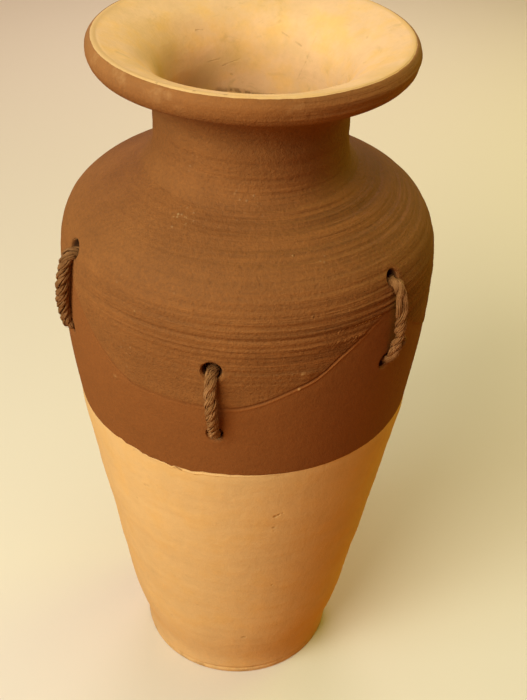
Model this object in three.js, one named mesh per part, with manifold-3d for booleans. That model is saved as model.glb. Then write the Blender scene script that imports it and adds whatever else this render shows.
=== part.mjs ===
// A tall terracotta jar: one hollow fired clay body with a wide flared lip, a brown slip coat over its
// upper part, and six rope stitches threaded through pairs of holes pierced round the belly.
// Millimetres, +Z up. The origin is the middle of the base, on the surface that the jar stands on.
// An azimuth is the angle round the axis in degrees, 0 at the front (-Y) and growing towards +X.

import * as THREE from 'three';
import { mergeVertices } from 'three/addons/utils/BufferGeometryUtils.js';
import Module from 'manifold-3d';

const wasm = await Module();
wasm.setup();

// Clay body, outside. A drop is how far a place lies under the rim, and the flare is measured from
// the ground, so a taller jar is longer between the two.
const overallHeight = 450;
const footRadius = 66;
const footChamfer = 1;
const flareHeight = 75.7;
const flareRadius = 80.6;
const bellyDrop = 132.2;
const bellyRadius = 111.3;
const shoulderEndDrop = 74.3;
const shoulderEndRadius = 64;
const neckRadius = 55.5;
const neckStartDrop = 55;
const neckEndDrop = 42;
const lipRadius = 90.1;
const lipBulgeDrop = 6.4;
const lipUndersideDrop = 15.3;
const lipUndersideRadius = 83;
const rimRadius = 87;

// Slopes of the outside, as millimetres of radius for each millimetre of height
const footSlope = 0.056;
const flareSlope = 0.16;
const shoulderSlope = -1.837;

// Clay body, inside
const wallThickness = 7;
const floorThickness = 9;
const throatRadius = 50;
const throatDepth = 38;
const creaseRadius = 64;
const creaseDepth = 15;

// Brown slip coat, let into the clay so that the outside runs on without a step. Its lower edge hangs
// below the lowest row of holes.
const coatThickness = 0.9;
const coatGap = 0.3;
const coatHang = 33;
const coatTopDrop = 0.8;

// Rope stitches and their holes
const ropeDiameter = 8.2;
const ropeStandoff = 0.8;
const edgeBendRadius = 2.8;
const holeClearance = 0.9;
const holeFlare = 1.6;
const ropeSeat = 0.35;
const knotWidth = 19;
const knotDepth = 14;
const knotSeat = 0.3;
const knotTail = 10;

// Rows of holes, measured from the belly, and how far a hole pierced by hand strays from its row
const highTopRise = 26.2;
const highBottomDrop = 27.8;
const lowTopDrop = 12.8;
const lowBottomDrop = 58.3;
const holeStray = 2;

const bellyHeight = overallHeight - bellyDrop;
const coatBottomHeight = bellyHeight - lowBottomDrop - coatHang;
const highRow = { top: bellyHeight + highTopRise, bottom: bellyHeight - highBottomDrop };
const lowRow = { top: bellyHeight - lowTopDrop, bottom: bellyHeight - lowBottomDrop };

// Each stitch comes out of its upper hole and goes back in at its lower one. High and low ones
// alternate. A hole's azimuth is in degrees, and its stray is a share of how far holes stray.
const stitches = [
  { row: highRow, top: { azimuth: -63, stray: -0.25 }, bottom: { azimuth: -66, stray: -1 } },
  { row: lowRow, top: { azimuth: -8.9, stray: -0.15 }, bottom: { azimuth: -8, stray: 0 } },
  { row: highRow, top: { azimuth: 47.5, stray: 0 }, bottom: { azimuth: 45.5, stray: 1 } },
  { row: lowRow, top: { azimuth: 110, stray: 0 }, bottom: { azimuth: 110, stray: 0 } },
  { row: highRow, top: { azimuth: 172, stray: 0 }, bottom: { azimuth: 171, stray: 0 } },
  { row: lowRow, top: { azimuth: 234, stray: 0 }, bottom: { azimuth: 235, stray: 0 } },
].map(({ row, top, bottom }) => ({
  top: { azimuth: top.azimuth, height: row.top + top.stray * holeStray },
  bottom: { azimuth: bottom.azimuth, height: row.bottom + bottom.stray * holeStray },
}));

// Fineness of the facets
const turnSteps = 40;
const ropeSides = 8;
const bendSteps = 5;
const runSteps = 5;
const holeSides = 10;

const clay = new THREE.MeshStandardMaterial({ color: 0xe3bd83, roughness: 0.9, metalness: 0 });
const slip = new THREE.MeshStandardMaterial({ color: 0x7a5439, roughness: 0.85, metalness: 0 });
const jute = new THREE.MeshStandardMaterial({ color: 0x80563a, roughness: 0.95, metalness: 0 });

// Outline helpers. A station is a place on the outside in the plane of radius and height, with the
// direction that points straight out of the clay there.

const place = (radius, height) => new THREE.Vector2(radius, height);
const step = (from, direction, distance) => from.clone().addScaledVector(direction, distance);

function stationsOf(curve, count) {
  const stations = [];
  for (let i = 0; i <= count; i += 1) {
    const along = curve.getTangent(i / count);
    stations.push({ at: curve.getPoint(i / count), away: place(along.y, -along.x) });
  }
  return stations;
}

// A curve between two places that leaves each along its own slope, as far as its reach in height.
function swell(from, fromSlope, fromReach, to, toSlope, toReach) {
  return new THREE.CubicBezierCurve(
    from,
    place(from.x + fromSlope * fromReach, from.y + fromReach),
    place(to.x - toSlope * toReach, to.y - toReach),
    to,
  );
}

const between = (low, high, share) => ({
  at: low.at.clone().lerp(high.at, share),
  away: low.away.clone().lerp(high.away, share).normalize(),
});

// The station at a height, where the outline first reaches it.
function stationAtHeight(stations, height) {
  const next = stations.findIndex((station) => station.at.y > height);
  const [low, high] = [stations[next - 1], stations[next]];
  return between(low, high, (height - low.at.y) / (high.at.y - low.at.y));
}

// The stretch of outline between two heights, with a station at each of them.
function stretch(stations, low, high) {
  const inside = stations.filter((station) => station.at.y > low && station.at.y < high);
  return [stationAtHeight(stations, low), ...inside, stationAtHeight(stations, high)];
}

const moved = (stations, distance) => stations.map(({ at, away }) => step(at, away, distance));

// Outline of the outside, from the foot to the top of the lip

const foot = place(footRadius, footChamfer);
const flare = place(flareRadius, flareHeight);
const belly = place(bellyRadius, bellyHeight);
const shoulderEnd = place(shoulderEndRadius, overallHeight - shoulderEndDrop);
const neckStart = place(neckRadius, overallHeight - neckStartDrop);
const neckEnd = place(neckRadius, overallHeight - neckEndDrop);
const lipUnderside = place(lipUndersideRadius, overallHeight - lipUndersideDrop);
const lipBulge = place(lipRadius, overallHeight - lipBulgeDrop);
const rim = place(rimRadius, overallHeight);

const footRise = flare.y - foot.y;
const bellyRise = belly.y - flare.y;
const shoulderRise = shoulderEnd.y - belly.y;
const neckRise = neckStart.y - shoulderEnd.y;
const lipRise = lipUnderside.y - neckEnd.y;
const lipReach = lipUnderside.x - neckEnd.x;
const bulgeRise = lipBulge.y - lipUnderside.y;
const bulgeReach = lipBulge.x - lipUnderside.x;
const roundRise = rim.y - lipBulge.y;
const roundReach = lipBulge.x - rim.x;

const footCurve = swell(foot, footSlope, 0.35 * footRise, flare, flareSlope, 0.68 * footRise);
const bellyCurve = swell(flare, flareSlope, 0.42 * bellyRise, belly, 0, 0.31 * bellyRise);
const shoulderCurve = swell(belly, 0, 0.6 * shoulderRise, shoulderEnd, shoulderSlope, 0.34 * shoulderRise);
const neckCurve = swell(shoulderEnd, shoulderSlope, 0.17 * neckRise, neckStart, 0, 0.6 * neckRise);
const lipCurve = new THREE.CubicBezierCurve(
  neckEnd,
  place(neckEnd.x, neckEnd.y + 0.45 * lipRise),
  place(neckEnd.x + 0.33 * lipReach, neckEnd.y + 0.75 * lipRise),
  lipUnderside,
);
const bulgeCurve = new THREE.CubicBezierCurve(
  lipUnderside,
  place(lipUnderside.x + 0.55 * bulgeReach, lipUnderside.y),
  place(lipBulge.x, lipBulge.y - 0.5 * bulgeRise),
  lipBulge,
);
const roundCurve = new THREE.CubicBezierCurve(
  lipBulge,
  place(lipBulge.x, lipBulge.y + 0.55 * roundRise),
  place(rim.x + 0.6 * roundReach, rim.y - 0.1 * roundRise),
  rim,
);

const outside = [
  ...stationsOf(footCurve, 5),
  ...stationsOf(bellyCurve, 5).slice(1),
  ...stationsOf(shoulderCurve, 7).slice(1),
  ...stationsOf(neckCurve, 3).slice(1),
  ...stationsOf(lipCurve, 4),
  ...stationsOf(bulgeCurve, 3).slice(1),
  ...stationsOf(roundCurve, 2).slice(1),
];

// The wall as a length to walk along, from the foot up, for the stitches that lie against it.

const wallLengths = outside.reduce((lengths, station, i) => {
  lengths.push(i === 0 ? 0 : lengths[i - 1] + station.at.distanceTo(outside[i - 1].at));
  return lengths;
}, []);

function wallLengthAtHeight(height) {
  const next = outside.findIndex((station) => station.at.y > height);
  const [low, high] = [outside[next - 1], outside[next]];
  const share = (height - low.at.y) / (high.at.y - low.at.y);
  return THREE.MathUtils.lerp(wallLengths[next - 1], wallLengths[next], share);
}

function wallAtLength(length) {
  const next = wallLengths.findIndex((reached) => reached > length);
  const share = (length - wallLengths[next - 1]) / (wallLengths[next] - wallLengths[next - 1]);
  return between(outside[next - 1], outside[next], share);
}

// Solids from geometries, for the joins and cuts

function toSolid(geometry) {
  geometry.deleteAttribute('normal');
  geometry.deleteAttribute('uv');
  const merged = mergeVertices(geometry);
  const corners = [...merged.index.array];
  const triVerts = [];
  for (let i = 0; i < corners.length; i += 3) {
    const [a, b, c] = corners.slice(i, i + 3);
    if (a !== b && b !== c && c !== a) triVerts.push(a, b, c);
  }
  const vertProperties = merged.attributes.position.array;
  return new wasm.Manifold(new wasm.Mesh({ numProp: 3, vertProperties, triVerts: new Uint32Array(triVerts) }));
}

function toMesh(name, solid, material) {
  const { vertProperties, triVerts } = solid.getMesh();
  const geometry = new THREE.BufferGeometry();
  geometry.setAttribute('position', new THREE.BufferAttribute(vertProperties, 3));
  geometry.setIndex(new THREE.BufferAttribute(triVerts, 1));
  geometry.computeVertexNormals();
  const mesh = new THREE.Mesh(geometry, material);
  mesh.name = name;
  return mesh;
}

// A lathe turns its profile round the Y axis, so it is stood up on Z. The profile runs anticlockwise
// round the clay: up the outside and down the inside.
const turned = (profile, sides) => toSolid(new THREE.LatheGeometry(profile, sides).rotateX(Math.PI / 2));

// Clay body

function clayProfile() {
  const recess = coatThickness + coatGap;
  const coatTop = overallHeight - coatTopDrop;
  const bare = stretch(outside, foot.y + 0.01, coatBottomHeight);
  const coated = stretch(outside, coatBottomHeight, coatTop);
  const top = stretch(outside.slice(0, -1).concat({ at: rim, away: outside.at(-1).away }), coatTop, rim.y - 0.01);

  // The cavity keeps the wall's thickness up to the throat.
  const cavity = moved(outside, -wallThickness)
    .filter((at) => at.y > floorThickness && at.y < neckEnd.y && at.x > throatRadius);
  const last = cavity.at(-1);
  const cavityEnd = place(throatRadius, last.y + (throatRadius - last.x) / shoulderSlope);
  const cavityFoot = place(cavity[0].x - flareSlope * (cavity[0].y - floorThickness), floorThickness);

  const crease = place(creaseRadius, overallHeight - creaseDepth);
  const throatTop = place(throatRadius, overallHeight - throatDepth);
  const funnel = new THREE.QuadraticBezierCurve(
    throatTop,
    place(throatTop.x, throatTop.y + 0.6 * (crease.y - throatTop.y)),
    crease,
  );

  return [
    place(0, 0),
    place(footRadius - footChamfer, 0),
    foot,
    ...bare.slice(1).map(({ at }) => at),
    ...moved(coated, -recess),
    ...top.map(({ at }) => at),
    rim,
    ...funnel.getPoints(4).reverse(),
    cavityEnd,
    ...cavity.reverse(),
    cavityFoot,
    place(0, floorThickness),
  ];
}

// Slip coat

function coatProfile() {
  const coated = stretch(outside, coatBottomHeight + coatGap, overallHeight - coatTopDrop - coatGap);
  const outer = coated.map(({ at }) => at);
  const inner = moved(coated, -coatThickness).reverse();
  return [...outer, ...inner, outer[0].clone()];
}

// Rope stitches

const ropeRadius = ropeDiameter / 2;
const holeRadius = ropeRadius + holeClearance;
const ropeOffset = ropeRadius + ropeStandoff;
const bendRadius = ropeRadius + edgeBendRadius;
const bendInset = bendRadius - ropeOffset;
// The rope rests on the edge of the hole that it is pulled against.
const ropeShift = holeClearance - ropeSeat;

const roundTheAxis = (flat, azimuth) => {
  const angle = THREE.MathUtils.degToRad(azimuth);
  return new THREE.Vector3(flat.x * Math.sin(angle), -flat.x * Math.cos(angle), flat.y);
};

// The drill that pierces one hole square to the wall, with its outer edge rounded off.
function drill({ azimuth, height }) {
  const { at, away } = stationAtHeight(outside, height);
  const start = -wallThickness - holeRadius;
  const profile = [
    place(0, start),
    place(holeRadius, start),
    place(holeRadius, -holeFlare),
    place(holeRadius + 2 * holeFlare, holeFlare),
    place(0, holeFlare),
  ];
  const geometry = new THREE.LatheGeometry(profile, holeSides);
  const outward = roundTheAxis(away, azimuth);
  geometry.applyQuaternion(new THREE.Quaternion().setFromUnitVectors(new THREE.Vector3(0, 1, 0), outward));
  const centre = roundTheAxis(at, azimuth);
  return toSolid(geometry.translate(centre.x, centre.y, centre.z));
}

// One end of a stitch, from its tail inside the jar to where it starts to lie along the wall. The
// turn is 1 where the rope goes on up the wall from the hole, and -1 where it goes on down.
function ropeEnd(wallLength, turn) {
  const { at, away } = wallAtLength(wallLength);
  const leaving = wallAtLength(wallLength + turn * bendRadius);
  const bendStart = step(at, away, -bendInset);
  const bendEnd = step(leaving.at, leaving.away, ropeOffset);
  const onward = place(-leaving.away.y, leaving.away.x).multiplyScalar(turn);
  const handle = 0.55 * bendRadius;
  const bend = new THREE.CubicBezierCurve(
    bendStart,
    step(bendStart, away, handle),
    step(bendEnd, onward, -handle),
    bendEnd,
  );
  const tail = step(at, away, -wallThickness - knotSeat - knotDepth - knotTail);
  const inHole = step(at, away, -wallThickness);
  return { points: [tail, inHole, ...bend.getPoints(bendSteps)], at, away };
}

function knot({ at, away }, azimuth) {
  const geometry = new THREE.SphereGeometry(0.5, 8, 6).scale(knotWidth, knotDepth, knotWidth);
  const outward = roundTheAxis(away, azimuth);
  geometry.applyQuaternion(new THREE.Quaternion().setFromUnitVectors(new THREE.Vector3(0, 1, 0), outward));
  const centre = roundTheAxis(step(at, away, -wallThickness - knotSeat - knotDepth / 2), azimuth);
  return toSolid(geometry.translate(centre.x, centre.y, centre.z));
}

// A path whose rings fall on its own points, which lie closer together in the bends.
class RingedPath extends THREE.CatmullRomCurve3 {
  getUtoTmapping(u) {
    return u;
  }
}

function ropeStitch({ top, bottom }) {
  const topLength = wallLengthAtHeight(top.height) - ropeShift;
  const bottomLength = wallLengthAtHeight(bottom.height) + ropeShift;
  const topEnd = ropeEnd(topLength, -1);
  const bottomEnd = ropeEnd(bottomLength, 1);

  const route = topEnd.points.map((flat) => roundTheAxis(flat, top.azimuth));
  const runTop = topLength - bendRadius;
  const runBottom = bottomLength + bendRadius;
  for (let i = 1; i < runSteps; i += 1) {
    const share = i / runSteps;
    const { at, away } = wallAtLength(THREE.MathUtils.lerp(runTop, runBottom, share));
    const azimuth = THREE.MathUtils.lerp(top.azimuth, bottom.azimuth, THREE.MathUtils.smoothstep(share, 0, 1));
    route.push(roundTheAxis(step(at, away, ropeOffset), azimuth));
  }
  route.push(...bottomEnd.points.reverse().map((flat) => roundTheAxis(flat, bottom.azimuth)));

  const section = new THREE.Shape(new THREE.EllipseCurve(0, 0, ropeRadius, ropeRadius).getPoints(ropeSides).slice(1));
  const extrudePath = new RingedPath(route, false, 'centripetal');
  const rope = new THREE.ExtrudeGeometry(section, { steps: route.length - 1, extrudePath, bevelEnabled: false });
  return toSolid(rope).add(knot(topEnd, top.azimuth)).add(knot(bottomEnd, bottom.azimuth));
}

// The jar

const holes = stitches.flatMap(({ top, bottom }) => [drill(top), drill(bottom)]);
const pierced = (solid) => holes.reduce((left, hole) => left.subtract(hole), solid);

const jar = new THREE.Group();
jar.add(toMesh('jar_body', pierced(turned(clayProfile(), turnSteps)), clay));
jar.add(toMesh('slip_coat', pierced(turned(coatProfile(), turnSteps)), slip));
stitches.forEach((stitch, i) => jar.add(toMesh(`rope_stitch_${i + 1}`, ropeStitch(stitch), jute)));

export default jar;
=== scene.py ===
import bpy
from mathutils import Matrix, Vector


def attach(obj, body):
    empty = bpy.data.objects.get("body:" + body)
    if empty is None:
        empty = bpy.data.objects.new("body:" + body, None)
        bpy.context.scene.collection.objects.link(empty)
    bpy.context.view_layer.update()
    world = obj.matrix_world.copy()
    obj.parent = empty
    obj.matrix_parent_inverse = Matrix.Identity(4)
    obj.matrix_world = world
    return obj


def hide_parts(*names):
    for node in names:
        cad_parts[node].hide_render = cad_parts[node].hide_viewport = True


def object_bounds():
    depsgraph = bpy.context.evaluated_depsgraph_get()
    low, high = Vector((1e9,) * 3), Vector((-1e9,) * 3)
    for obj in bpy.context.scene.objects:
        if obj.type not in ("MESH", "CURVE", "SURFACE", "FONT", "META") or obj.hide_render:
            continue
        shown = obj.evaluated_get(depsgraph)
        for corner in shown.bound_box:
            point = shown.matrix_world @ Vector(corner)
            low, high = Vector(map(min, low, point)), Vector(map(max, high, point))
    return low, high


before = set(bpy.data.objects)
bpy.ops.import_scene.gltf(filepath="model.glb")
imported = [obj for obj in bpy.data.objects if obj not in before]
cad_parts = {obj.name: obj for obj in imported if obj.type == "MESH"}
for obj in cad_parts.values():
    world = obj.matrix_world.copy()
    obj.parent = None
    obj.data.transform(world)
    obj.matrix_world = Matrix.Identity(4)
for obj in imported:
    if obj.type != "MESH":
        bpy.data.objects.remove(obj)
cad_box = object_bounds()

# A tall terracotta jar: a clay body thrown in one piece, a coat of brown slip over its upper part, and six
# stitches of jute rope through pairs of holes round the belly. Everything is in metres with Z up, and an
# azimuth is the angle round the jar, 0 at the front (-Y) and growing towards +X.

import copy
import math
from typing import Callable, NamedTuple

import bmesh
import bpy
import numpy as np
from bpy.props import FloatProperty, FloatVectorProperty, IntProperty, PointerProperty
from mathutils import Matrix, Vector

bl_info = {
    "name": "Terracotta Jar",
    "version": (1, 0, 0),
    "blender": (4, 5, 0),
    "location": "3D View > Sidebar > Jar",
    "description": "Builds a tall terracotta jar with a brown slip coat and jute rope stitches",
    "category": "Add Mesh",
}

MM = 0.001
BODY = "root"
TURN = 2 * math.pi


# Properties

def length(name, description, default, **limits):
    return FloatProperty(name=name, description=description, default=default, unit="LENGTH", **limits)


def colour(name, description, default):
    return FloatVectorProperty(
        name=name, description=description, default=default, subtype="COLOR", size=3, min=0, max=1
    )


class JarShape(bpy.types.PropertyGroup):
    """The sizes of the clay body and its slip coat."""

    height: length("Height", "From the ground to the top of the rim", cad_box[1][2], min=0.3)
    foot_radius: length("Foot radius", "At the bottom of the wall", 66 * MM)
    flare_radius: length("Flare radius", "Where the foot goes over into the body", 80.6 * MM)
    flare_height: length("Flare height", "Where the foot goes over into the body", 75.7 * MM)
    belly_radius: length("Belly radius", "At the widest place", 111.3 * MM)
    belly_drop: length("Belly drop", "From the rim down to the widest place", 132.2 * MM)
    neck_radius: length("Neck radius", "At the narrowest place outside", 55.5 * MM)
    lip_radius: length("Lip radius", "At the widest place of the lip", 90.1 * MM)
    rim_radius: length("Rim radius", "Where the slip ends on the lip", 86.4 * MM)
    throat_radius: length("Throat radius", "Inside the neck", 50 * MM)
    wall: length("Wall", "Thickness of the clay wall", 7 * MM)
    floor: length("Floor", "Thickness of the clay floor", 9 * MM)
    coat: length("Coat", "Thickness of the slip", 0.9 * MM)
    coat_hang: length("Coat hang", "From the lowest holes down to the edge of the slip", 33 * MM)


class RopeShape(bpy.types.PropertyGroup):
    """The sizes of the rope stitches and their holes."""

    diameter: length("Diameter", "Of the laid rope, over its yarns", 6.9 * MM)
    lay: length("Lay", "Length of one turn of a strand", 14 * MM)
    standoff: length("Standoff", "Between the rope and the wall", 0.8 * MM)
    edge_bend: length("Edge bend", "Radius of the clay edge that the rope bends round", 2.8 * MM)
    hole_clearance: length("Hole clearance", "Between the rope and its hole, all round", 1.75 * MM)
    hole_flare: length("Hole flare", "How far a hole's rim is rounded off", 1.6 * MM)
    pinch: FloatProperty(
        name="Pinch", description="How thick the rope stays where it is pulled into a hole", default=0.72
    )
    seat: length("Seat", "How near the rope lies to the edge that it is pulled against", 0.35 * MM)
    knot_radius: length("Knot radius", "Half the width of a stopper knot", 9.3 * MM)
    knot_depth: length("Knot depth", "Of a stopper knot, along the rope", 14 * MM)
    knot_tail: length("Knot tail", "Rope left past a stopper knot", 9.5 * MM)
    yarns: IntProperty(name="Yarns", description="In each of the three strands", default=9, min=3, max=12)


class JarColours(bpy.types.PropertyGroup):
    """The colours of the jar's finishes and of the floor."""

    clay: colour("Clay", "Bare cream clay", (0.82, 0.505, 0.220))
    slip: colour("Slip", "Brown slip", (0.246, 0.0845, 0.0175))
    jute: colour("Jute", "Rope", (0.29, 0.123, 0.040))
    ground: colour("Floor", "Pale floor", (0.80, 0.71, 0.61))
    bounce: colour("Bounce", "What the floor throws back on to the jar", (0.50, 0.24, 0.06))


# Places on the jar

class Hole(NamedTuple):
    """Where a hole is, in degrees and in millimetres from the ground, its size as a share of the common one, and how
    many millimetres the rope is drawn past its seat on the edge."""

    azimuth: float
    height: float
    size: float = 1.0
    pull: float = 0.0


# Each stitch comes out of its upper hole and goes back in at its lower one.
STITCHES = (
    (Hole(-63, 341.5), Hole(-66, 287)),
    (Hole(-8.9, 304.7), Hole(-8, 259.5, 0.84)),
    (Hole(47.5, 344, 0.84, 0.8), Hole(45.5, 292, 0.76)),
    (Hole(110, 305), Hole(110, 259.5)),
    (Hole(172, 344), Hole(171, 290)),
    (Hole(234, 305), Hole(235, 259.5)),
)

# The combed line that hangs in garlands from one high stitch to the next: share of the way, height in millimetres
GARLAND = (
    (0.00, 326), (0.04, 314), (0.107, 301), (0.188, 288), (0.259, 280), (0.41, 278.5), (0.55, 279),
    (0.62, 283.7), (0.70, 292.3), (0.754, 297), (0.79, 303), (0.82, 308.5), (0.87, 315.2), (0.94, 323.8),
)

# Low swellings and dents in the slip: degrees, height, radius and rise in millimetres
SWELLINGS = (
    (18.1, 302.2, 3.2, 0.7), (11.3, 307, 2.4, -0.5), (-37.1, 278.3, 2.8, 0.6), (-24, 276, 5.0, 0.3),
    (30, 333, 6.0, 0.3), (-52, 318, 7.0, 0.4), (62, 318, 7.0, -0.35), (140, 300, 7.0, 0.4), (205, 312, 6.0, -0.4),
    (262, 296, 7.0, 0.35),
)


# Outline of the jar in the plane of radius and height

def curve_through(*controls, count=24):
    """Points on the Bezier curve with these control points."""
    share = np.linspace(0, 1, count)[:, None]
    layer = [np.asarray(control, float) for control in controls]
    while len(layer) > 1:
        layer = [(1 - share) * a + share * b for a, b in zip(layer, layer[1:])]
    return layer[0]


def swell(low, low_slope, low_reach, high, high_slope, high_reach):
    """A curve that leaves both its ends along their own slopes, as far as their reaches in height."""
    return curve_through(
        low,
        (low[0] + low_slope * low_reach, low[1] + low_reach),
        (high[0] - high_slope * high_reach, high[1] - high_reach),
        high,
    )


class Outline:
    """A line to walk along, in the plane of radius and height, with its outside on the right."""

    def __init__(self, **stretches):
        points, self.ends = [], {}
        for name, stretch in stretches.items():
            for point in np.asarray(stretch, float):
                if not points or np.hypot(*(point - points[-1])) > 1e-7:
                    points.append(point)
            self.ends[name] = len(points) - 1
        self.points = np.array(points)
        steps = np.hypot(*np.diff(self.points, axis=0).T)
        self.lengths = np.concatenate([[0], np.cumsum(steps)])
        self.ends = {name: self.lengths[last] for name, last in self.ends.items()}
        along = np.gradient(self.points, self.lengths, axis=0)
        along /= np.hypot(*along.T)[:, None]
        self.outward = np.column_stack([along[:, 1], -along[:, 0]])

    def _look_up(self, at, table):
        return np.stack([np.interp(at, self.lengths, column) for column in table.T], axis=-1)

    def place(self, at, offset=0.0):
        """Radius and height at a length along the outline, moved outward by the offset."""
        return self._look_up(at, self.points) + np.asarray(offset)[..., None] * self._look_up(at, self.outward)

    def at_height(self, height):
        return np.interp(height, self.points[:, 1], self.lengths)


def outside_of(jar):
    """The outline of the outside, from the foot up to the rim."""
    top = jar.height
    foot = (jar.foot_radius, 1 * MM)
    flare = (jar.flare_radius, jar.flare_height)
    belly = (jar.belly_radius, top - jar.belly_drop)
    shoulder = (64 * MM, top - 74.3 * MM)
    neck_start = (jar.neck_radius, top - 55 * MM)
    neck_end = (jar.neck_radius, top - 42 * MM)
    underside = (83 * MM, top - 15.3 * MM)
    bulge = (jar.lip_radius, top - 6.4 * MM)
    rim = (jar.rim_radius, top + 0.4 * MM)
    turns = (foot, flare, belly, shoulder, neck_start)
    rises = [high[1] - low[1] for low, high in zip(turns, turns[1:])]
    reach, rise = underside[0] - neck_end[0], underside[1] - neck_end[1]
    return Outline(
        foot=swell(foot, 0.056, 0.35 * rises[0], flare, 0.16, 0.68 * rises[0]),
        body=swell(flare, 0.16, 0.42 * rises[1], belly, 0, 0.31 * rises[1]),
        shoulder=swell(belly, 0, 0.6 * rises[2], shoulder, -1.837, 0.34 * rises[2]),
        neck_start=swell(shoulder, -1.837, 0.17 * rises[3], neck_start, 0, 0.6 * rises[3]),
        neck_end=[neck_start, neck_end],
        underside=curve_through(
            neck_end,
            (neck_end[0], neck_end[1] + 0.45 * rise),
            (neck_end[0] + 0.33 * reach, neck_end[1] + 0.75 * rise),
            underside,
        ),
        bulge=curve_through(
            underside,
            (underside[0] + 0.55 * (bulge[0] - underside[0]), underside[1]),
            (bulge[0], bulge[1] - 0.5 * (bulge[1] - underside[1])),
            bulge,
            count=14,
        ),
        rim=curve_through(
            bulge,
            (bulge[0], bulge[1] + 0.55 * (rim[1] - bulge[1])),
            (rim[0] + 0.6 * (bulge[0] - rim[0]), rim[1] - 0.1 * (rim[1] - bulge[1])),
            rim,
            count=14,
        ),
    )


def clay_outline_of(jar, outside):
    """The clay's whole section: under the foot, up the outside, over the rim and down the inside to the floor.

    The lip rolls over softly and runs on into a funnel without an edge."""
    top = jar.height
    foot, rim = outside.points[0], outside.points[-1]
    roll_end = (83.4 * MM, top)
    throat_top = (jar.throat_radius, top - 38 * MM)
    cavity = outside.place(np.linspace(0, outside.ends["neck_start"], 160), -jar.wall)
    cavity = cavity[(cavity[:, 1] > jar.floor) & (cavity[:, 0] > jar.throat_radius)][::-1]
    return Outline(
        underside=[(0, 0), (foot[0] - 1 * MM, 0)],
        foot=curve_through((foot[0] - 1 * MM, 0), (foot[0], 0), foot, count=5),
        outside=outside.points,
        rim=curve_through(rim, (85.4 * MM, top + 0.7 * MM), (84.4 * MM, top + 0.3 * MM), roll_end, count=12),
        funnel=curve_through(
            roll_end,
            (71 * MM, top - 4.2 * MM),
            (59 * MM, top - 8.5 * MM),
            (51.5 * MM, top - 19 * MM),
            throat_top,
            count=36,
        ),
        throat=[throat_top, (jar.throat_radius, cavity[0][1] + 3 * MM)],
        cavity=cavity,
        corner=curve_through(cavity[-1], (cavity[-1][0], jar.floor), (cavity[-1][0] - 4 * MM, jar.floor), count=6),
        floor=[(cavity[-1][0] - 4 * MM, jar.floor), (0, jar.floor)],
    )


# Uneven handwork, as sums of waves that close round the jar

def waves(azimuth, along, turns, pitch, count, seed):
    """A field of about -1 to 1 with up to so many waves in a turn, and waves of about this pitch along the wall."""
    random = np.random.default_rng(seed)
    total = np.zeros(np.broadcast(azimuth, along).shape)
    for _ in range(count):
        around = random.integers(0, turns + 1)
        slant = TURN / pitch * random.uniform(0.35, 1.3)
        total += np.sin(around * azimuth + slant * along + random.uniform(0, TURN))
    return total / math.sqrt(count / 2)


def closed_line(degrees, values, softness, seed=0, wobble=0.0, fineness=60):
    """A function of azimuth through given values, softened over so many degrees, with a hand's wobble."""
    grid = np.radians(np.arange(0, 360, 0.25))
    line = np.interp(grid, np.radians(np.asarray(degrees) % 360), values, period=TURN)
    spectrum = np.fft.rfft(line)
    order = np.arange(len(spectrum))
    line = np.fft.irfft(spectrum * np.exp(-((order * math.radians(softness)) ** 2) / 2), len(grid))
    random = np.random.default_rng(seed)
    for turns in range(3, fineness):
        line += wobble * random.normal() * turns**-0.75 * np.sin(turns * grid + random.uniform(0, TURN))
    return lambda azimuth: np.interp(azimuth, grid, line, period=TURN)


def swag_line():
    """Height of the combed line at an azimuth. Its garlands hang between the high stitches."""
    hangers = [STITCHES[0][0].azimuth, STITCHES[2][0].azimuth, STITCHES[4][0].azimuth]
    degrees, heights = [], []
    for start, end in zip(hangers, hangers[1:] + [hangers[0] + 360]):
        for share, height in GARLAND:
            degrees.append(start + share * (end - start))
            heights.append(height * MM)
    order = np.argsort(np.asarray(degrees) % 360)
    return closed_line(np.asarray(degrees)[order], np.asarray(heights)[order], 1.2, seed=5, wobble=0.12 * MM)


def bell(distance, width):
    """1 at no distance, falling off softly to both sides over the width."""
    return np.exp(-((distance / width) ** 2))


def smooth(low, high, value):
    """0 at low, 1 at high and a soft step from one to the other. Low may be the higher one."""
    share = np.clip((value - low) / (high - low), 0, 1)
    return share * share * (3 - 2 * share)


def turned_from(azimuth, degrees):
    """The angle from a place round the jar, between minus and plus half a turn."""
    return (azimuth - math.radians(degrees) + math.pi) % TURN - math.pi


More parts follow.
